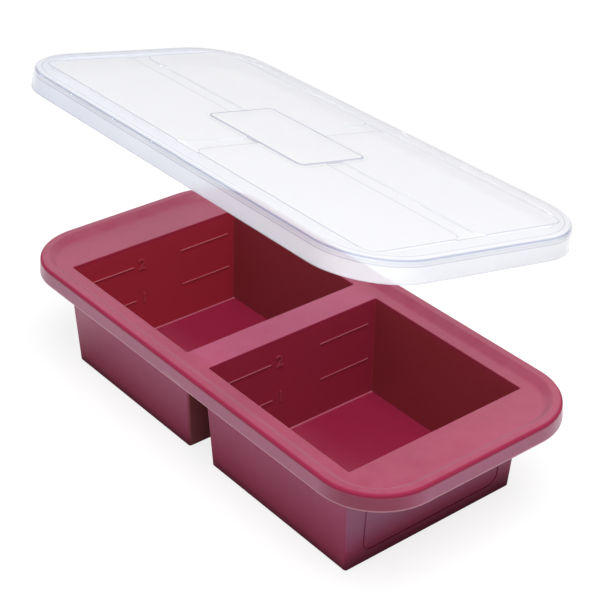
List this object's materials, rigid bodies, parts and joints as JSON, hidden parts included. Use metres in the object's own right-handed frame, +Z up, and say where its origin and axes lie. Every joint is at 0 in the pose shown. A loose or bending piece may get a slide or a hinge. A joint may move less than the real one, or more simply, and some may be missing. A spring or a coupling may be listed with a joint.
{
  "type": "silicone freezer tray",
  "caption": "Soft freezer tray with square portion wells, raised fill lines and a stiffened rim, and a frosted lid that lifts off, for freezing baby food or stock in blocks.",
  "frame": {"origin": "on the shelf that the wells stand on, midway between the wells", "axes": "+X along the row of wells towards the framed end wall, +Z up, +Y to the back"},
  "size_m": [0.3171, 0.1589, 0.1702],
  "materials": {
    "silicone": "satin silicone",
    "steel_wire": "drawn wire",
    "lid_plastic": "frosted translucent"
  },
  "bodies": {
    "tray": {"tray": "silicone", "rim_frame": "steel_wire"},
    "lid": {"lid": "lid_plastic"}
  },
  "joints": [
    {"name": "lid_lift", "type": "hinge", "parent": "tray", "child": "lid", "pos_m": [-0.06792, 0.48431, 0.01983], "axis": [-0.972, -0.1505, -0.1805], "range_deg": [-10.85, 0]}
  ]
}
